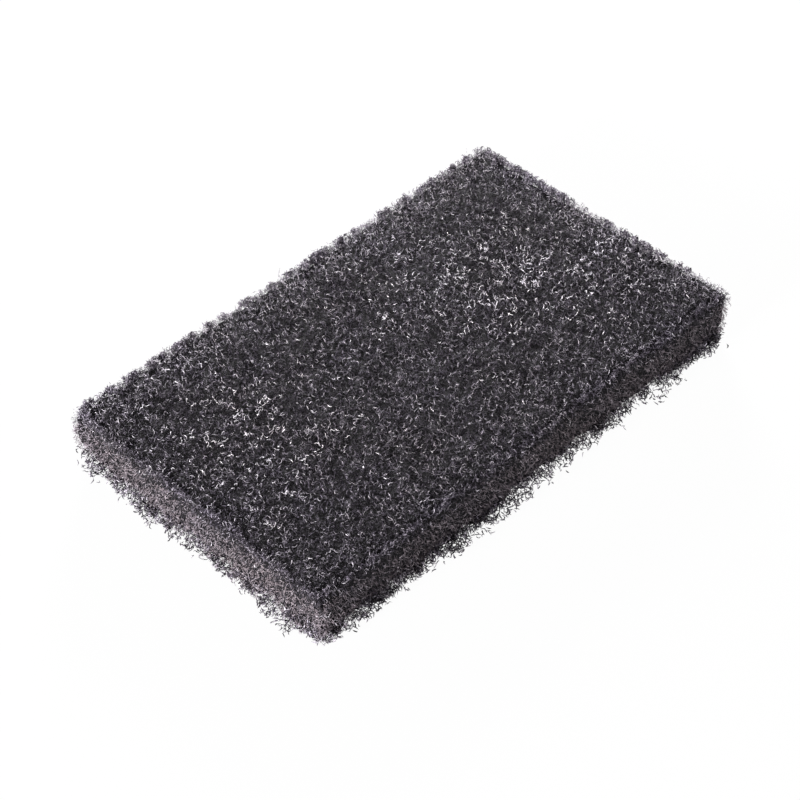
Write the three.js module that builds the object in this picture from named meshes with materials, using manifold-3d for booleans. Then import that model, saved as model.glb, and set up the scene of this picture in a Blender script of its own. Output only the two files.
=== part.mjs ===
// Hand scouring pad: one block of crimped nylon fibre, bonded with dark abrasive resin and knife-cut
// from a thick sheet of open web. Millimetres, +Z up. The origin is at the middle of the underside,
// +X runs along the length and +Y along the width.
import * as THREE from "three";
import { ImprovedNoise } from "three/addons/math/ImprovedNoise.js";
import { mergeVertices } from "three/addons/utils/BufferGeometryUtils.js";
import Module from "manifold-3d";

// The block as it is cut from the sheet
const LENGTH = 152;
const WIDTH = 90;
const THICKNESS = 18;
const CORNER_RADIUS = 2.5; // upright corners, seen from above
const RIM_RADIUS = 1.4; // edge round the top face, where the cut fibres fall back
const FOOT_RADIUS = 1.0; // edge round the underside
const KNIFE_WANDER = 0.8; // how far the cut sides stray inwards
const WANDER_PITCH = 42; // distance over which they stray

// The open web: winding bundles of fibre with pits between them
const BUNDLE_PITCH = 5.6;
const PIT_DEPTH = 1.7;
const PIT_GAIN = 2.2; // how quickly a pit falls away from its bundle
const KNOT_PITCH = 3.1; // finer unevenness along the bundles
const KNOT_HEIGHT = 0.6;

// Grid of the block's skin, and the skim that leaves the underside flat
const COLUMNS = 72;
const ROWS = 43;
const LAYERS = 8;
const UNDERSIDE_SKIM = 0.3;
const WELD = 1e-4;

const WEB_COLOUR = 0x454247;
const WEB_ROUGHNESS = 0.95;

const wasm = await Module();
wasm.setup();
const noise = new ImprovedNoise();

// Distance from a point inside the plan's rounded rectangle to its outline, and the way out of it.
function planInset(x, y) {
  const beyondX = Math.abs(x) - (LENGTH / 2 - CORNER_RADIUS);
  const beyondY = Math.abs(y) - (WIDTH / 2 - CORNER_RADIUS);
  if (beyondX > 0 && beyondY > 0) {
    const reach = Math.hypot(beyondX, beyondY);
    const out = new THREE.Vector2(Math.sign(x) * beyondX, Math.sign(y) * beyondY).divideScalar(reach);
    return { inset: CORNER_RADIUS - reach, out };
  }
  if (beyondX > beyondY) return { inset: CORNER_RADIUS - beyondX, out: new THREE.Vector2(Math.sign(x), 0) };
  return { inset: CORNER_RADIUS - beyondY, out: new THREE.Vector2(0, Math.sign(y)) };
}

// Draws a square corner of the plan in to its quarter circle.
function roundCorner(point) {
  const beyondX = Math.abs(point.x) - (LENGTH / 2 - CORNER_RADIUS);
  const beyondY = Math.abs(point.y) - (WIDTH / 2 - CORNER_RADIUS);
  if (beyondX <= 0 || beyondY <= 0) return;
  const draw = Math.max(beyondX, beyondY) / Math.hypot(beyondX, beyondY) - 1;
  point.x += Math.sign(point.x) * beyondX * draw;
  point.y += Math.sign(point.y) * beyondY * draw;
}

// Draws the square edge at one end of the height in to a quarter circle, and gives the skin's normal there.
// side is +1 for the top face and -1 for the underside.
function roundEdge(point, level, radius, side) {
  const { inset, out } = planInset(point.x, point.y);
  const across = Math.max(0, radius - inset);
  const along = Math.max(0, radius - side * (level - point.z));
  const slant = Math.hypot(across, along);
  const draw = Math.max(across, along) / slant - 1;
  if (across > 0 && along > 0) {
    point.x += out.x * across * draw;
    point.y += out.y * across * draw;
    point.z += side * along * draw;
  }
  return new THREE.Vector3(out.x * across, out.y * across, side * along).divideScalar(slant);
}

// Depth of the skin below the block's envelope: none along a bundle, PIT_DEPTH in the middle of a pit.
function pitDepth(point) {
  const bundle = noise.noise(point.x / BUNDLE_PITCH, point.y / BUNDLE_PITCH, point.z / BUNDLE_PITCH);
  const knot = noise.noise(point.y / KNOT_PITCH, point.z / KNOT_PITCH, point.x / KNOT_PITCH);
  return PIT_DEPTH * Math.min(1, PIT_GAIN * Math.abs(bundle)) + KNOT_HEIGHT * Math.max(0, knot);
}

// How far the knife strays inwards at a point of the side.
function knifeStray(point) {
  const stray = noise.noise(point.x / WANDER_PITCH, point.y / WANDER_PITCH, point.z / WANDER_PITCH);
  return KNIFE_WANDER * Math.abs(stray);
}

// The cut block with its uneven skin: a gridded box, drawn in at its corners and edges and pitted all over.
function webBlock() {
  const bottom = -UNDERSIDE_SKIM;
  const height = THICKNESS - bottom;
  const geometry = new THREE.BoxGeometry(LENGTH, WIDTH, height, COLUMNS, ROWS, LAYERS);
  geometry.translate(0, 0, bottom + height / 2);
  const position = geometry.getAttribute("position");
  const point = new THREE.Vector3();
  for (let i = 0; i < position.count; i++) {
    point.fromBufferAttribute(position, i);
    const underside = point.z < bottom + WELD;
    roundCorner(point);
    const upper = point.z > THICKNESS / 2;
    const normal = upper
      ? roundEdge(point, THICKNESS, RIM_RADIUS, 1)
      : roundEdge(point, bottom, FOOT_RADIUS, -1);
    const lateral = Math.hypot(normal.x, normal.y);
    const pitted = underside ? lateral : 1; // the underside is ragged at its edge only
    const depth = pitted * pitDepth(point) + lateral * knifeStray(point);
    point.addScaledVector(normal, -depth);
    position.setXYZ(i, point.x, point.y, point.z);
  }
  return geometry;
}

// A closed geometry as a solid that can be cut.
function solidOf(geometry) {
  const bare = new THREE.BufferGeometry().setAttribute("position", geometry.getAttribute("position"));
  bare.setIndex(geometry.index);
  const welded = mergeVertices(bare, WELD);
  return new wasm.Manifold(
    new wasm.Mesh({
      numProp: 3,
      vertProperties: welded.getAttribute("position").array,
      triVerts: new Uint32Array(welded.index.array),
    }),
  );
}

function geometryOf(solid) {
  const mesh = solid.getMesh();
  const geometry = new THREE.BufferGeometry();
  geometry.setAttribute("position", new THREE.BufferAttribute(mesh.vertProperties, 3));
  geometry.setIndex(new THREE.BufferAttribute(mesh.triVerts, 1));
  geometry.computeVertexNormals();
  return geometry;
}

// What lies below the bench that the pad is skimmed flat on.
function bench() {
  const slab = new THREE.BoxGeometry(2 * LENGTH, 2 * WIDTH, THICKNESS);
  slab.translate(0, 0, -THICKNESS / 2);
  return slab;
}

function scouringPad() {
  const solid = solidOf(webBlock()).subtract(solidOf(bench()));
  const material = new THREE.MeshStandardMaterial({
    color: WEB_COLOUR,
    roughness: WEB_ROUGHNESS,
    metalness: 0,
  });
  const pad = new THREE.Mesh(geometryOf(solid), material);
  pad.name = "scouring_pad";
  return pad;
}

const part = new THREE.Group();
part.add(scouringPad());

export default part;
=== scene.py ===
import math

import bmesh
import bpy
import numpy as np
from mathutils import Matrix, Vector, noise


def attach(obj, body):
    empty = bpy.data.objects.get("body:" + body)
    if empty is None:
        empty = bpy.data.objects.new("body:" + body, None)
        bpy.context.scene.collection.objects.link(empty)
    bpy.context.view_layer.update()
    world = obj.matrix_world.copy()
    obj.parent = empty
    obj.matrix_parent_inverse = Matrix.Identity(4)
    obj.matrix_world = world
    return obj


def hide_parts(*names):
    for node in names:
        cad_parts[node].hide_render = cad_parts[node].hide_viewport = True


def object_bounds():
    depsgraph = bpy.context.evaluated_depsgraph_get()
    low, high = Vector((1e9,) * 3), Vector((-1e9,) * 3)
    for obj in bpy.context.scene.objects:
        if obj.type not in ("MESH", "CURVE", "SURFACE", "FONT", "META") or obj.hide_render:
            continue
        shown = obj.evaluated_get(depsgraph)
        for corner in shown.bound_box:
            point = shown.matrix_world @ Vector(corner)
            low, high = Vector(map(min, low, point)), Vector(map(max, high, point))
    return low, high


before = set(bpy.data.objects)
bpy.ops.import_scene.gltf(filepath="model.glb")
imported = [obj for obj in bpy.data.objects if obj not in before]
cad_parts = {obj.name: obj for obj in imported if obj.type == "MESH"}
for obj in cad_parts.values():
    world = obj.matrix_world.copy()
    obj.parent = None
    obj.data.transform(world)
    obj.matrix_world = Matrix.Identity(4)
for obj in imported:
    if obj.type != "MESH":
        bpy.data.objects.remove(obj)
cad_low, cad_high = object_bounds()
scene = bpy.context.scene

# The felted heart of the pad: matted nylon and resin that lie too deep to be seen as single fibres.
# It is the cut block, drawn in a little to leave room for the loose fibres on it. Its upper edges are
# cut back, and it is drawn in further round the foot, where the knife has left the web open.
HEART_INSET = 0.0007  # how far it is drawn in all round
FOOT_INSET = 0.0060  # and how far more, at most, round the foot
FOOT_HEIGHT = 0.0065
FRAY_PITCH = 0.0075  # distance between one open stretch of the foot and the next
FRAY_MEAN = 0.55  # how open the foot is on the whole, from 0 to 1
FRAY_SPREAD = 1.5  # how much that differs from stretch to stretch
NICK_PITCH = 0.0030  # the same for the small nicks in its edge
NICK_SPREAD = 0.8
FACE_BLEND = 0.0028  # how far from an edge the way out starts to turn from one face to the next
EDGE_LEAN = 1 - math.sqrt(0.5)  # how far from square to a face the way out is at an edge
PIT_FILL = 0.75  # how much of the depth of the block's pits the fibres fill
EDGE_FILL = 0.7  # how much more of the rounding of its edges they fill
RIM_CUT = 0.0021  # how far the upper edges are cut back, under an open lace of fibres
NIBBLE_PITCH = 0.0030  # distance between one bite of that cut and the next
NIBBLE_SPREAD = 0.8  # how much deeper or shallower a bite is
LUMP_PITCH = 0.0018
LUMP_HEIGHT = 0.0005
SMOOTHING_ROUNDS = 3
WELD = 0.000002
HEART_DARK = (0.008, 0.0072, 0.0085, 1)
HEART_LIGHT = (0.10, 0.092, 0.105, 1)
HEART_ROUGHNESS = 0.7
HEART_GLOSS = 0.1
HEART_STRANDS = ((420, 0.038, 1.0), (600, 0.050, 0.8), (300, 0.027, 0.9))  # scale, width and paleness
BLOCK_LOW = np.array(cad_low)
BLOCK_HIGH = np.array(cad_high)


def way_out(points):
    """The direction out of the block at each point, turning smoothly where two or three faces meet."""
    near_high = np.clip(1 - (BLOCK_HIGH - points) / FACE_BLEND, 0, 1)
    near_low = np.clip(1 - (points - BLOCK_LOW) / FACE_BLEND, 0, 1)
    out = near_high - near_low
    return out / np.maximum(np.linalg.norm(out, axis=1, keepdims=True), 1e-9)


def nearness_to_edge(outs):
    """How near to an edge of the block each way out belongs: 0 on the open faces, 1 at an edge or corner."""
    return np.minimum(1, (1 - np.abs(outs).max(axis=1)) / EDGE_LEAN)


def filled_out(points):
    """Points of the skin, raised towards the envelope and cut back at the rim, and the ways out there."""
    outs = way_out(points)
    fill = PIT_FILL + EDGE_FILL * nearness_to_edge(outs)[:, None]
    envelope = np.where(outs > 0, BLOCK_HIGH, BLOCK_LOW)
    filled = points + fill * np.abs(outs) * (envelope - points)
    inward = BLOCK_HIGH - np.abs(filled)
    nibble = np.array([noise.noise(Vector(point) / NIBBLE_PITCH) for point in points])
    leg = RIM_CUT * np.clip(1 + NIBBLE_SPREAD * nibble, 0, 2)
    cut = np.maximum(leg[:, None] - inward[:, :2] - inward[:, 2:], 0) / 2
    filled[:, :2] -= np.sign(filled[:, :2]) * cut
    filled[:, 2] -= cut.max(axis=1)
    return filled, outs


def fray_at(point):
    """How far the web is frayed open at a point of the foot: from 0, where it is whole, to 1."""
    height = max(0, 1 - point.z / FOOT_HEIGHT)
    stretch = FRAY_SPREAD * noise.noise(point / FRAY_PITCH)
    nick = NICK_SPREAD * noise.noise(point / NICK_PITCH)
    return height * min(1, max(0, FRAY_MEAN + stretch + nick))


def resin_mottle():
    """Uneven resin: slow patches of light and dark, a warm or violet cast, and a fine grain."""
    group = bpy.data.node_groups.new("resin_mottle", "ShaderNodeTree")
    for name, value in (("Patch Scale", 1900.0), ("Grain Scale", 4200.0), ("Depth", 0.9)):
        socket = group.interface.new_socket(name, in_out="INPUT", socket_type="NodeSocketFloat")
        socket.default_value = value
    group.interface.new_socket("Shade", in_out="OUTPUT", socket_type="NodeSocketFloat")
    group.interface.new_socket("Cast", in_out="OUTPUT", socket_type="NodeSocketFloat")
    nodes, links = group.nodes, group.links
    given = nodes.new("NodeGroupInput")
    result = nodes.new("NodeGroupOutput")
    place = nodes.new("ShaderNodeTexCoord")
    patch = nodes.new("ShaderNodeTexNoise")
    patch.inputs["Detail"].default_value = 3
    grain = nodes.new("ShaderNodeTexNoise")
    grain.inputs["Detail"].default_value = 2
    cast = nodes.new("ShaderNodeTexNoise")
    cast.inputs["Scale"].default_value = 60
    both = nodes.new("ShaderNodeMath")
    both.operation = "ADD"
    spread = nodes.new("ShaderNodeMapRange")
    spread.inputs["From Min"].default_value = 0.85
    spread.inputs["From Max"].default_value = 1.15
    lowest = nodes.new("ShaderNodeMath")
    lowest.operation = "SUBTRACT"
    lowest.inputs[0].default_value = 1
    highest = nodes.new("ShaderNodeMath")
    highest.operation = "ADD"
    highest.inputs[0].default_value = 1
    for texture in (patch, grain, cast):
        links.new(place.outputs["Object"], texture.inputs["Vector"])
    links.new(given.outputs["Patch Scale"], patch.inputs["Scale"])
    links.new(given.outputs["Grain Scale"], grain.inputs["Scale"])
    links.new(patch.outputs["Fac"], both.inputs[0])
    links.new(grain.outputs["Fac"], both.inputs[1])
    links.new(given.outputs["Depth"], lowest.inputs[1])
    links.new(given.outputs["Depth"], highest.inputs[1])
    links.new(both.outputs[0], spread.inputs["Value"])
    links.new(lowest.outputs[0], spread.inputs["To Min"])
    links.new(highest.outputs[0], spread.inputs["To Max"])
    links.new(spread.outputs["Result"], result.inputs["Shade"])
    links.new(cast.outputs["Fac"], result.inputs["Cast"])
    return group


MOTTLE = resin_mottle()


def heart_material():
    """Matted dark fibre: thin curling lines of paler strands, sunk in near-black resin."""
    material = bpy.data.materials.new("felted_heart")
    material.use_nodes = True
    nodes, links = material.node_tree.nodes, material.node_tree.links
    shader = nodes["Principled BSDF"]
    shader.inputs["Roughness"].default_value = HEART_ROUGHNESS
    shader.inputs["Specular IOR Level"].default_value = HEART_GLOSS
    place = nodes.new("ShaderNodeTexCoord")
    tangle = None
    for scale, width, paleness in HEART_STRANDS:
        swirl = nodes.new("ShaderNodeTexNoise")
        swirl.inputs["Scale"].default_value = scale
        swirl.inputs["Detail"].default_value = 1
        swirl.inputs["Distortion"].default_value = 0.8
        off_line = nodes.new("ShaderNodeMath")
        off_line.operation = "SUBTRACT"
        off_line.inputs[1].default_value = 0.5
        distance = nodes.new("ShaderNodeMath")
        distance.operation = "ABSOLUTE"
        strand = nodes.new("ShaderNodeMapRange")
        strand.inputs["From Max"].default_value = width
        strand.inputs["To Min"].default_value = paleness
        strand.inputs["To Max"].default_value = 0
        links.new(place.outputs["Object"], swirl.inputs["Vector"])
        links.new(swirl.outputs["Fac"], off_line.inputs[0])
        links.new(off_line.outputs[0], distance.inputs[0])
        links.new(distance.outputs[0], strand.inputs["Value"])
        layer = strand.outputs["Result"]
        if tangle:
            over = nodes.new("ShaderNodeMath")
            over.operation = "MAXIMUM"
            links.new(tangle, over.inputs[0])
            links.new(layer, over.inputs[1])
            layer = over.outputs[0]
        tangle = layer
    tone = nodes.new("ShaderNodeValToRGB")
    tone.color_ramp.elements[0].position = 0.15
    tone.color_ramp.elements[0].color = HEART_DARK
    tone.color_ramp.elements[1].color = HEART_LIGHT
    mottle = nodes.new("ShaderNodeGroup")
    mottle.node_tree = MOTTLE
    shaded = nodes.new("ShaderNodeVectorMath")
    shaded.operation = "SCALE"
    relief = nodes.new("ShaderNodeBump")
    relief.inputs["Strength"].default_value = 0.9
    relief.inputs["Distance"].default_value = 0.0004
    links.new(tangle, tone.inputs["Fac"])
    links.new(tone.outputs["Color"], shaded.inputs[0])
    links.new(mottle.outputs["Shade"], shaded.inputs["Scale"])
    links.new(shaded.outputs["Vector"], shader.inputs["Base Color"])
    links.new(tangle, relief.inputs["Height"])
    links.new(relief.outputs["Normal"], shader.inputs["Normal"])
    return material


def finished_piece(name, shape, material):
    """A closed shape as a piece of the pad, in its place."""
    mesh = bpy.data.meshes.new(name)
    shape.to_mesh(mesh)
    shape.free()
    mesh.materials.append(material)
    piece = bpy.data.objects.new(name, mesh)
    scene.collection.objects.link(piece)
    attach(piece, "root")
    return piece


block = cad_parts["scouring_pad"].data
heart = bmesh.new()
heart.from_mesh(block)
bmesh.ops.remove_doubles(heart, verts=heart.verts, dist=WELD)
bmesh.ops.subdivide_edges(heart, edges=heart.edges, cuts=1)
for _ in range(SMOOTHING_ROUNDS):
    bmesh.ops.smooth_vert(
        heart, verts=heart.verts, factor=0.5, use_axis_x=True, use_axis_y=True, use_axis_z=True
    )
for vert, place, out in zip(heart.verts, *filled_out(np.array([vert.co for vert in heart.verts]))):
    depth = HEART_INSET + LUMP_HEIGHT * noise.noise(vert.co / LUMP_PITCH)
    level_out = Vector((out[0], out[1], 0))
    vert.co = Vector(place) - Vector(out) * depth - level_out * FOOT_INSET * fray_at(vert.co)
for face in heart.faces:
    face.smooth = True
felted_heart = finished_piece("felted_heart", heart, heart_material())
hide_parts("scouring_pad")

# The open web of the top face: short crimped lengths of resin-coated nylon that lie tangled over one
# another, dive between their neighbours and come up again, some of them standing a little proud.
FIBRE_SIDES = 3
BIT_STEPS = 2
BIT_STEP = 0.00065
BIT_THICKNESS = 0.00018
FIBRE_STEPS = 4
FIBRE_STEP = 0.00054
FIBRE_THICKNESS = 0.000145
CURL = math.radians(55)  # sharpest turn of the crimp to the side, from step to step
DIVE = math.radians(48)  # and sharpest turn up or down
CRIMP_STEPS = (3.5, 7)  # shortest and longest wave of the crimp, in steps
BEADING = 0.30  # how unevenly the resin has thickened the fibre, from step to step
THINNEST_BEAD = 0.65
THICKEST_BEAD = 1.7
WANDER = math.radians(26)  # how much each turn strays from the crimp
FIBRE_KINDS = 60
TOP_BITS = 18500
TOP_FIBRES = 10500
DEEP_HEIGHTS = (0.0000, 0.0007)  # lowest and highest of the three layers, over the heart
MIDDLE_HEIGHTS = (0.0004, 0.0011)
LOOSE_HEIGHTS = (0.0008, 0.0015)
DEEP_PAINTED_SHADE = 0.30  # painted shade: a deep fibre keeps this share of its tone, darkened as shade down in the web would darken it
# Painted shade: a fibre of the middle layer keeps this share of its tone.
MIDDLE_PAINTED_SHADE = 0.8
TOP_TILT = 0.25  # how steeply the fibres lean out of the skin
FLOOR_CLEARANCE = 0.0001
CELL_MARGIN = 0.1  # share of its cell of the map that each fibre leaves free on every side
TONE_SHAPE = (0.75, 1.3)  # most fibres are dark, a few are pale
TONE_PITCH = 0.0035
TONE_DRIFT = 0.04
RIM_PAINTED_LIGHT = (0.44, 0.54, 0.06, 0.10)  # painted light: how much paler the rims at +X, +Y, -X and -Y are painted, for the light that catches them
RIM_LIGHT_WIDTH = 0.014
RIM_LIGHT_HEIGHT = 0.015  # how far down the painted light on the rims reaches
FIBRE_TONES = (
    (0.0, (0.007, 0.0056, 0.0086, 1)),
    (0.4, (0.152, 0.139, 0.167, 1)),
    (0.75, (0.44, 0.424, 0.452, 1)),
    (1.0, (0.54, 0.53, 0.55, 1)),
)
VIOLET_CAST = (0.98, 0.95, 1.06, 1)
WARM_CAST = (1.05, 0.98, 0.97, 1)
FIBRE_ROUGHNESS = 0.30
FIBRE_GLOSS = 0.08
FIBRE_UNEVENNESS = 0.9
EDGE_CROWD = 2.0  # how much closer the fibres lie at an edge of the block
TOP_TURN = (0.0132, 0.0158)  # heights between which the cut web of the sides gives way to that of the top
LACE_REACH_FAR = 1.4  # how far the lace fills the cut back edges: at the +X and +Y rims it stands full
LACE_REACH_NEAR = 0.8  # and at the -X and -Y rims it has been flattened
LACE_FLOOR = 0.0012  # depth under the block's faces from which the heart counts as cut back
LACE_GATHER = 0.9  # below 1, the fibres of the lace gather towards its outside


def winding_path(rng, steps, step):
    """Places along a crimped fibre, a step apart: each is a matrix whose Z runs along the fibre."""
    place = Matrix.Rotation(math.pi / 2, 4, "Y")
    path = [place]
    swing_phase, dive_phase = rng.uniform(0, 2 * math.pi, 2)
    swing_period, dive_period = rng.uniform(*CRIMP_STEPS, 2)
    for number in range(steps):
        swing = CURL * math.sin(swing_phase + 2 * math.pi * number / swing_period) + rng.normal(0, WANDER)
        dive = DIVE * math.sin(dive_phase + 2 * math.pi * number / dive_period) + rng.normal(0, WANDER)
        turn = Matrix.Rotation(swing, 4, "X") @ Matrix.Rotation(dive, 4, "Y")
        place = place @ turn @ Matrix.Translation((0, 0, step))
        path.append(place)
    middle = (path[0].translation + path[-1].translation) / 2
    return [Matrix.Translation(-middle) @ place for place in path]


def crimped_fibre(rng, steps, step, thickness):
    """One short crimped fibre: a three-sided rod, drawn to a point at its ends and bent to its path."""
    length = steps * step
    fibre = bmesh.new()
    radius = thickness / 2
    bmesh.ops.create_cone(
        fibre, cap_ends=False, segments=FIBRE_SIDES, radius1=radius, radius2=radius, depth=length
    )
    lengthwise = [edge for edge in fibre.edges if edge.calc_length() > length / 2]
    bmesh.ops.subdivide_edges(fibre, edges=lengthwise, cuts=steps - 1)
    for end in (-length / 2, length / 2):
        tip = [vert for vert in fibre.verts if abs(vert.co.z - end) < step / 2]
        bmesh.ops.pointmerge(fibre, verts=tip, merge_co=(0, 0, end))
    fibre.verts.index_update()
    path = winding_path(rng, steps, step)
    beads = np.clip(rng.lognormal(0, BEADING, steps + 1), THINNEST_BEAD, THICKEST_BEAD)
    on_map = {}
    for vert in fibre.verts:
        ring = round(vert.co.z / step + steps / 2)
        side = round(math.atan2(vert.co.y, vert.co.x) / (2 * math.pi / FIBRE_SIDES)) % FIBRE_SIDES
        on_map[vert.index] = (ring / steps, side / (FIBRE_SIDES - 1))
        vert.co = path[ring] @ (Vector((vert.co.x, vert.co.y, 0)) * beads[ring])
    bmesh.ops.recalc_face_normals(fibre, faces=fibre.faces)
    fibre.verts.layers.float.new("tone")
    spread = fibre.loops.layers.uv.new("OFBake")
    for face in fibre.faces:
        face.smooth = True
        for corner in face.loops:
            corner[spread].uv = on_map[corner.vert.index]
    mesh = bpy.data.meshes.new("crimped_fibre")
    fibre.to_mesh(mesh)
    fibre.free()
    return mesh


def skin_of(mesh):
    """A mesh as triangles: the places of their corners, the ways out there, and their areas."""
    mesh.calc_loop_triangles()
    vertices = np.empty(3 * len(mesh.vertices), np.float32)
    mesh.vertices.foreach_get("co", vertices)
    normals = np.empty(3 * len(mesh.vertices), np.float32)
    mesh.vertex_normals.foreach_get("vector", normals)
    chosen = np.empty(3 * len(mesh.loop_triangles), np.int32)
    mesh.loop_triangles.foreach_get("vertices", chosen)
    corners = vertices.reshape(-1, 3)[chosen].reshape(-1, 3, 3).astype(float)
    outs = normals.reshape(-1, 3)[chosen].reshape(-1, 3, 3).astype(float)
    edges = corners[:, 1:] - corners[:, :1]
    areas = np.linalg.norm(np.cross(edges[:, 0], edges[:, 1]), axis=1) / 2
    return corners, outs, areas


SKIN_CORNERS, SKIN_OUTS, SKIN_AREAS = skin_of(felted_heart.data)
SKIN_MIDDLES = SKIN_CORNERS.mean(axis=1)
SKIN_EDGES = nearness_to_edge(way_out(SKIN_MIDDLES))


def lace_room():
    """How far the lace of fibres reaches over each triangle of the heart, which is cut back under it."""
    inward = BLOCK_HIGH - np.abs(SKIN_MIDDLES)
    in_upper_half = SKIN_MIDDLES[:, 2] > BLOCK_HIGH[2] / 2
    depths = np.maximum(inward.min(axis=1) - LACE_FLOOR, 0) * in_upper_half
    nearest_side = inward[:, :2].argmin(axis=1)
    at_near_rim = SKIN_MIDDLES[np.arange(len(SKIN_MIDDLES)), nearest_side] < 0
    return np.where(at_near_rim, LACE_REACH_NEAR, LACE_REACH_FAR) * math.sqrt(2) * depths


SKIN_ROOM = lace_room()


def spots_on(rng, weights, count, heights):
    """Spots between two heights over the heart, drawn by area times weight and closer at its edges."""
    chance = SKIN_AREAS * weights * (1 + EDGE_CROWD * SKIN_EDGES)
    chosen = rng.choice(len(chance), count, p=chance / chance.sum())
    share = rng.dirichlet((1, 1, 1), count)[:, :, None]
    outs = (SKIN_OUTS[chosen] * share).sum(axis=1)
    outs /= np.linalg.norm(outs, axis=1, keepdims=True)
    lace = SKIN_ROOM[chosen, None] * rng.uniform(0, 1, (count, 1)) ** LACE_GATHER
    rise = rng.uniform(*heights, (count, 1)) + lace
    return (SKIN_CORNERS[chosen] * share).sum(axis=1) + outs * rise, outs


def lay_web(name, rng, fibres, spots, outs, tones, tilt, material, flat_lay=1.0):
    """Lays one fibre at each spot, turned at random in the skin, and joins them as one piece of web."""
    count = len(spots)
    along = rng.normal(size=(count, 3)) * (1, 1, flat_lay)
    along -= (along * outs).sum(axis=1, keepdims=True) * outs
    along /= np.linalg.norm(along, axis=1, keepdims=True)
    along += outs * rng.normal(0, tilt, (count, 1))
    along /= np.linalg.norm(along, axis=1, keepdims=True)
    across = np.cross(outs, along)
    across /= np.linalg.norm(across, axis=1, keepdims=True)
    turns = np.stack([along, across, np.cross(along, across)], axis=1)
    shapes = []
    for fibre in fibres:
        shape = np.empty(3 * len(fibre.vertices), np.float32)
        fibre.vertices.foreach_get("co", shape)
        on_map = np.empty(2 * len(fibre.loops), np.float32)
        fibre.uv_layers["OFBake"].uv.foreach_get("vector", on_map)
        shapes.append((fibre, shape.reshape(-1, 3), on_map.reshape(-1, 2)))
    cells = math.ceil(math.sqrt(count))
    web = bmesh.new()
    for number in range(count):
        fibre, shape, on_map = shapes[rng.integers(len(shapes))]
        places = shape @ turns[number] + spots[number]
        places[:, 2] += max(0, FLOOR_CLEARANCE - places[:, 2].min())
        fibre.vertices.foreach_set("co", places.astype(np.float32).ravel())
        tone = np.full(len(places), tones[number], np.float32)
        fibre.attributes["tone"].data.foreach_set("value", tone)
        cell = np.array((number % cells, number // cells))
        placed = (cell + CELL_MARGIN + (1 - 2 * CELL_MARGIN) * on_map) / cells
        fibre.uv_layers["OFBake"].uv.foreach_set("vector", placed.astype(np.float32).ravel())
        web.from_mesh(fibre)
        fibre.vertices.foreach_set("co", shape.ravel())
        fibre.uv_layers["OFBake"].uv.foreach_set("vector", on_map.ravel())
    return finished_piece(name, web, material)


def web_tones(rng, spots):
    """A tone for each fibre, from dark to pale: it drifts from patch to patch, and the rims are painted
    paler as painted light.
    """
    drift = np.array([noise.noise(Vector(spot) / TONE_PITCH) for spot in spots])
    inward = np.hstack([(BLOCK_HIGH - spots)[:, :2], (spots - BLOCK_LOW)[:, :2]])
    at_rim = np.clip(1 - inward / RIM_LIGHT_WIDTH, 0, 1)
    # Painted light: the upper rims are made paler, most of all at their edge.
    rim_light = (RIM_PAINTED_LIGHT * at_rim).max(axis=1) * (spots[:, 2] > RIM_LIGHT_HEIGHT)
    return np.clip(rng.beta(*TONE_SHAPE, len(spots)) + TONE_DRIFT * drift + rim_light, 0, 1)


def fibre_material(name, tones, roughness, unevenness):
    """Resin-coated nylon: each fibre has its own tone, and the resin on it is uneven."""
    material = bpy.data.materials.new(name)
    material.use_nodes = True
    nodes, links = material.node_tree.nodes, material.node_tree.links
    shader = nodes["Principled BSDF"]
    shader.inputs["Roughness"].default_value = roughness
    shader.inputs["Specular IOR Level"].default_value = FIBRE_GLOSS
    own = nodes.new("ShaderNodeAttribute")
    own.attribute_name = "tone"
    ramp = nodes.new("ShaderNodeValToRGB")
    while len(ramp.color_ramp.elements) < len(tones):
        ramp.color_ramp.elements.new(1)
    for element, (position, colour) in zip(ramp.color_ramp.elements, tones):
        element.position = position
        element.color = colour
    mottle = nodes.new("ShaderNodeGroup")
    mottle.node_tree = MOTTLE
    mottle.inputs["Depth"].default_value = unevenness
    shaded = nodes.new("ShaderNodeVectorMath")
    shaded.operation = "SCALE"
    cast = nodes.new("ShaderNodeMix")
    cast.data_type = "RGBA"
    cast.inputs["A"].default_value = VIOLET_CAST
    cast.inputs["B"].default_value = WARM_CAST
    tinted = nodes.new("ShaderNodeVectorMath")
    tinted.operation = "MULTIPLY"
    links.new(own.outputs["Fac"], ramp.inputs["Fac"])
    links.new(ramp.outputs["Color"], shaded.inputs[0])
    links.new(mottle.outputs["Shade"], shaded.inputs["Scale"])
    links.new(mottle.outputs["Cast"], cast.inputs["Factor"])
    links.new(shaded.outputs["Vector"], tinted.inputs[0])
    links.new(cast.outputs["Result"], tinted.inputs[1])
    links.new(tinted.outputs["Vector"], shader.inputs["Base Color"])
    return material


def add_layer(name, seed, fibres, count, where, heights, tilt, material, paleness=1.0, flat_lay=1.0):
    """Lays a layer of web: fibres at random spots over a part of the heart, between two heights."""
    rng = np.random.default_rng(seed)
    spots, outs = spots_on(rng, where, count, heights)
    tones = paleness * web_tones(rng, spots)
    return lay_web(name, rng, fibres, spots, outs, tones, tilt, material, flat_lay)


def fibre_kinds(steps, step, thickness, seed):
    """A few dozen fibres that differ in their crimp, to be laid over and over."""
    rng = np.random.default_rng(seed)
    return [crimped_fibre(rng, steps, step, thickness) for _ in range(FIBRE_KINDS)]


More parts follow.
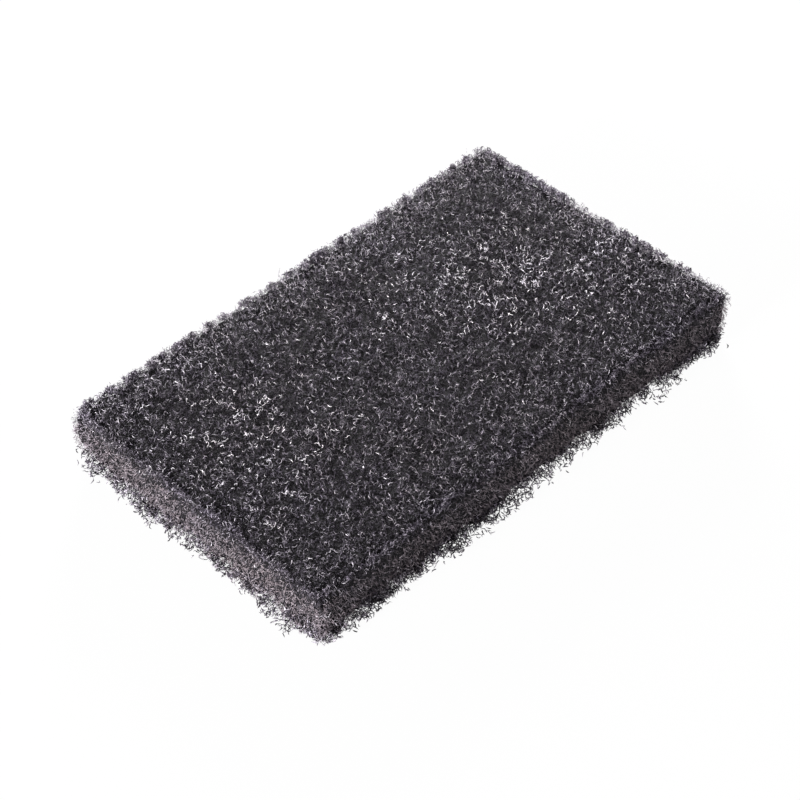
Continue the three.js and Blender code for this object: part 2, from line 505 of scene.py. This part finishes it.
FIBRE_RESIN = fibre_material("fibre_resin", FIBRE_TONES, FIBRE_ROUGHNESS, FIBRE_UNEVENNESS)
BITS = fibre_kinds(BIT_STEPS, BIT_STEP, BIT_THICKNESS, seed=1)
FIBRES = fibre_kinds(FIBRE_STEPS, FIBRE_STEP, FIBRE_THICKNESS, seed=2)
ON_TOP = np.clip((SKIN_MIDDLES[:, 2] - TOP_TURN[0]) / (TOP_TURN[1] - TOP_TURN[0]), 0, 1)
add_layer("web_top_deep", 10, BITS, TOP_BITS, ON_TOP, DEEP_HEIGHTS, TOP_TILT, FIBRE_RESIN, DEEP_PAINTED_SHADE)
add_layer(
    "web_top_middle", 11, FIBRES, TOP_FIBRES, ON_TOP, MIDDLE_HEIGHTS, TOP_TILT, FIBRE_RESIN, MIDDLE_PAINTED_SHADE
)
add_layer("web_top_loose", 12, FIBRES, TOP_FIBRES, ON_TOP, LOOSE_HEIGHTS, TOP_TILT, FIBRE_RESIN)

# Painted highlights: here and there over the top, mostly in two loose patches, short bits of near-white
# nylon lie in small clusters and stand in for glints of light on the resin.
GLINT_BITS = 950
GLINT_STEPS = 4
GLINT_STEP = 0.00048
GLINT_THICKNESS = 0.00017
GLINTS_ELSEWHERE = 0.02  # how many lie outside the patches, next to the middle of one
GLINT_PATCHES = (  # place on the top, and how far each patch spreads
    ((-0.050, 0.008), 0.015),
    ((0.024, 0.016), 0.011),
    ((0.040, 0.000), 0.012),
    ((0.056, -0.016), 0.011),
)
CLUSTER_PITCH = 0.0026
CLUSTER_FLOOR = 0.015  # how many lie outside the clusters
GLINT_HEIGHTS = (0.0010, 0.0016)
GLINT_UNEVENNESS = 0.7
# Painted highlights: the near-white tones of the glinting bits.
GLINT_TONES = ((0.0, (0.72, 0.72, 0.735, 1)), (0.6, (0.98, 0.98, 0.99, 1)))
glint_share = np.full(len(SKIN_AREAS), GLINTS_ELSEWHERE)
for middle, spread in GLINT_PATCHES:
    away = np.linalg.norm(SKIN_MIDDLES[:, :2] - middle, axis=1)
    glint_share += np.exp(-((away / spread) ** 2) / 2)
gathering = np.array([noise.noise(Vector(middle) / CLUSTER_PITCH) for middle in SKIN_MIDDLES])
where_glints = ON_TOP * glint_share * (CLUSTER_FLOOR + np.maximum(gathering, 0))
glint_kinds = fibre_kinds(GLINT_STEPS, GLINT_STEP, GLINT_THICKNESS, seed=3)
glint_nylon = fibre_material("glint_nylon", GLINT_TONES, FIBRE_ROUGHNESS, GLINT_UNEVENNESS)
add_layer("painted_glints", 50, glint_kinds, GLINT_BITS, where_glints, GLINT_HEIGHTS, TOP_TILT, glint_nylon)

# The cut sides: the knife has gone through the layers of the sheet, so the fibres run mostly level
# and their cut ends stand out all round. Their fibres are painted paler and warmer than those of the top:
# painted light, standing in for the strong light from the side that falls on the cut faces.
SIDE_BITS = 10500
SIDE_FIBRES = 11000
CUT_STEPS = 3
CUT_STEP = 0.00062
CUT_THICKNESS = 0.00017
INNER_HEIGHTS = (0.0001, 0.0008)
OUTER_HEIGHTS = (0.0006, 0.0015)
# Painted shade: an inner fibre of the sides keeps this share of its tone.
INNER_PAINTED_SHADE = 0.92
SIDE_TILT = 0.3
SIDE_LAY = 0.7  # how much of an upright lean the fibres keep, next to a level one
CUT_UNEVENNESS = 0.2
UNDERSIDE_LEAN = -0.5  # how far down a triangle of the heart has to face to belong to the underside
UNDERSIDE_HEIGHT = 0.0025  # and how low it has to lie
# Painted light: the tones of the sides, paler than those of the top.
SIDE_LIT_TONES = (
    (0.0, (0.245, 0.215, 0.226, 1)),
    (0.4, (0.325, 0.294, 0.311, 1)),
    (0.75, (0.39, 0.362, 0.38, 1)),
    (1.0, (0.41, 0.39, 0.405, 1)),
)
SIDE_LIT_RESIN = fibre_material("side_lit_resin", SIDE_LIT_TONES, FIBRE_ROUGHNESS, CUT_UNEVENNESS)
cut_fibres = fibre_kinds(CUT_STEPS, CUT_STEP, CUT_THICKNESS, seed=6)
faces_down = SKIN_OUTS.mean(axis=1)[:, 2] < UNDERSIDE_LEAN
ON_UNDERSIDE = faces_down & (SKIN_MIDDLES[:, 2] < UNDERSIDE_HEIGHT)
ON_SIDES = (1 - ON_TOP) * ~ON_UNDERSIDE
add_layer(
    "web_sides_inner", 20, BITS, SIDE_BITS, ON_SIDES, INNER_HEIGHTS, SIDE_TILT, SIDE_LIT_RESIN,
    paleness=INNER_PAINTED_SHADE, flat_lay=SIDE_LAY,
)
add_layer(
    "web_sides_outer", 21, cut_fibres, SIDE_FIBRES, ON_SIDES, OUTER_HEIGHTS, SIDE_TILT, SIDE_LIT_RESIN,
    flat_lay=SIDE_LAY,
)

# The rim of the top: an open lace of resin-coated fibres in place of the edges that were cut back.
# The knife and the handling have left it loose all round, so it blurs the outline of the pad.
RIM_FIBRES = 7200
RIM_STEPS = 3
RIM_STEP = 0.00065
RIM_THICKNESS = 0.00026
RIM_HEIGHTS = (0.0002, 0.0018)
RIM_PALENESS = 0.62
RIM_TILT = 0.2
rim_kinds = fibre_kinds(RIM_STEPS, RIM_STEP, RIM_THICKNESS, seed=7)
in_lace = ON_TOP * SKIN_ROOM
add_layer("web_rim", 22, rim_kinds, RIM_FIBRES, in_lace, RIM_HEIGHTS, RIM_TILT, FIBRE_RESIN, RIM_PALENESS)

# The frayed foot: a net of cut ends that the knife left standing out all round the lower edge, in every
# direction, with the surface under the pad showing between them. They keep their dark resin.
FRAY_REACH = 0.0048  # how far past the block the longest cut ends stand
FRAY_TAPER = 0.6  # how much of that reach is lost towards the top of the frayed foot
FRAY_FADE = 0.6  # below 1, the cut ends stay close to one another almost up to that height
FRAY_STEPS = 3
FRAY_STEP = 0.00072
FRAY_THICKNESS = 0.00029
FRAY_STRANDS = 9600
FRAY_TILT = 0.5
FRAY_GATHER = 0.6  # below 1, the cut ends gather towards the outside of their net
TUFT_PITCH = 0.0030  # distance between one tuft of cut ends and the next
TUFT_MEAN = 0.5


def from_rim(points):
    """How far each point is from the nearest side of the block, seen from above."""
    return (BLOCK_HIGH - np.abs(points))[:, :2].min(axis=1)


cut_ends = fibre_kinds(FRAY_STEPS, FRAY_STEP, FRAY_THICKNESS, seed=4)
rng = np.random.default_rng(40)
in_foot = ON_SIDES * np.clip(1 - SKIN_MIDDLES[:, 2] / FOOT_HEIGHT, 0, 1) ** FRAY_FADE
spots, outs = spots_on(rng, in_foot, FRAY_STRANDS, heights=(0, 0))
level_outs = outs * (1, 1, 0)
level_outs /= np.linalg.norm(level_outs, axis=1, keepdims=True)
tuft = np.array([TUFT_MEAN + noise.noise(Vector(spot) / TUFT_PITCH) for spot in spots])
reach = FRAY_REACH * np.clip(tuft, 0, 1) * (1 - FRAY_TAPER * spots[:, 2] / FOOT_HEIGHT)
stand = (from_rim(spots) + reach) * rng.uniform(0, 1, FRAY_STRANDS) ** FRAY_GATHER
spots = spots + level_outs * stand[:, None]
tones = web_tones(rng, spots)
lay_web("frayed_foot", rng, cut_ends, spots, outs, tones, FRAY_TILT, FIBRE_RESIN)

# Stray hairs: a few longer single fibres of the same resin-coated nylon, which the resin no longer
# holds, so that they have come loose along the edges and stand off them.
HAIR_STEPS = 9
HAIR_STEP = 0.0008
HAIR_THICKNESS = 0.00014
HAIRS = 80
HAIR_HEIGHTS = (0.0005, 0.0020)
HAIR_TILT = 0.8
hair_kinds = fibre_kinds(HAIR_STEPS, HAIR_STEP, HAIR_THICKNESS, seed=5)
add_layer("stray_hairs", 60, hair_kinds, HAIRS, SKIN_EDGES, HAIR_HEIGHTS, HAIR_TILT, FIBRE_RESIN)

# The underside: the same web of resin-coated fibres as on the top, which the pad's own weight and the
# hand have pressed flat against whatever it lies on.
UNDER_BITS = 4500
UNDER_HEIGHTS = (0.0000, 0.0008)
UNDER_TILT = 0.12
add_layer("web_underside", 30, BITS, UNDER_BITS, ON_UNDERSIDE, UNDER_HEIGHTS, UNDER_TILT, FIBRE_RESIN)

# The stage: a plain floor of white card that runs to a white horizon, lying flat under the pad, and the
# camera where the photograph's was.
FLOOR_RADIUS = 6
FLOOR_COLOUR = (0.9, 0.9, 0.9, 1)
FLOOR_GLOW = 0.97  # how much of the floor that the camera sees is plain white, with no shade
VIEW_AZIMUTH = math.radians(-45.46)
VIEW_ELEVATION = math.radians(44.37)
VIEW_DISTANCE = 0.5985
VIEW_TARGET = Vector((-0.0022, 0.0013, 0))
LENS = 101.3


def seen_ray(tree):
    """1 for a ray that is seen, straight on, mirrored or through glass, and 0 for one that only lights."""
    ray = tree.nodes.new("ShaderNodeLightPath")
    seen = ray.outputs["Is Camera Ray"]
    for kind in ("Is Glossy Ray", "Is Transmission Ray"):
        either = tree.nodes.new("ShaderNodeMath")
        either.operation = "MAXIMUM"
        tree.links.new(seen, either.inputs[0])
        tree.links.new(ray.outputs[kind], either.inputs[1])
        seen = either.outputs[0]
    return seen


def floor_material():
    """White card: it takes light and shade as card does, and is nearly pure white to the camera."""
    material = bpy.data.materials.new("white_card")
    material.use_nodes = True
    nodes, links = material.node_tree.nodes, material.node_tree.links
    card = nodes["Principled BSDF"]
    card.inputs["Base Color"].default_value = FLOOR_COLOUR
    card.inputs["Roughness"].default_value = 0.9
    card.inputs["Specular IOR Level"].default_value = 0.1
    glow = nodes.new("ShaderNodeEmission")
    share = nodes.new("ShaderNodeMath")
    share.operation = "MULTIPLY"
    share.inputs[1].default_value = FLOOR_GLOW
    mix = nodes.new("ShaderNodeMixShader")
    links.new(seen_ray(material.node_tree), share.inputs[0])
    links.new(share.outputs[0], mix.inputs["Fac"])
    links.new(card.outputs["BSDF"], mix.inputs[1])
    links.new(glow.outputs["Emission"], mix.inputs[2])
    links.new(mix.outputs["Shader"], nodes["Material Output"].inputs["Surface"])
    return material


floor_shape = bmesh.new()
bmesh.ops.create_circle(floor_shape, cap_ends=True, segments=64, radius=FLOOR_RADIUS)
floor_mesh = bpy.data.meshes.new("floor")
floor_shape.to_mesh(floor_mesh)
floor_shape.free()
floor_mesh.materials.append(floor_material())
floor = bpy.data.objects.new("floor", floor_mesh)
scene.collection.objects.link(floor)

camera = bpy.data.objects.new("camera", bpy.data.cameras.new("camera"))
camera.data.lens = LENS
camera.data.clip_start = 0.01
camera.data.clip_end = 50
back = Vector((
    math.sin(VIEW_AZIMUTH) * math.cos(VIEW_ELEVATION),
    -math.cos(VIEW_AZIMUTH) * math.cos(VIEW_ELEVATION),
    math.sin(VIEW_ELEVATION),
))
camera.location = VIEW_TARGET + back * VIEW_DISTANCE
camera.rotation_euler = back.to_track_quat("Z", "Y").to_euler()
scene.collection.objects.link(camera)
scene.camera = camera

# Plain studio light: a soft lamp low on the left, a smaller one behind that glints on the resin,
# a weak fill in front, and an even sky that is white to the camera.
SKY_LEVEL = 0.15
LAMPS = (  # name, place, size and power
    ("left_softbox", (-1.12, -0.03, 0.33), (0.22, 0.22), 26.5),
    ("back_softbox", (0.45, 0.49, 0.172), (0.18, 0.18), 10.0),
    ("front_fill", (0.15, -1.10, 0.35), (0.80, 0.50), 1.5),
)
for name, place, size, power in LAMPS:
    lamp = bpy.data.lights.new(name, "AREA")
    lamp.shape = "RECTANGLE"
    lamp.size, lamp.size_y = size
    lamp.energy = power
    softbox = bpy.data.objects.new(name, lamp)
    softbox.location = place
    softbox.rotation_euler = (Vector(place) - VIEW_TARGET).to_track_quat("Z", "Y").to_euler()
    scene.collection.objects.link(softbox)

world = bpy.data.worlds.new("studio")
world.use_nodes = True
scene.world = world
sky = world.node_tree.nodes["Background"]
level = world.node_tree.nodes.new("ShaderNodeMapRange")
level.inputs["To Min"].default_value = SKY_LEVEL
level.inputs["To Max"].default_value = 1
world.node_tree.links.new(seen_ray(world.node_tree), level.inputs["Value"])
world.node_tree.links.new(level.outputs["Result"], sky.inputs["Strength"])
sky.inputs["Color"].default_value = (1, 1, 1, 1)

scene.view_settings.view_transform = "Standard"
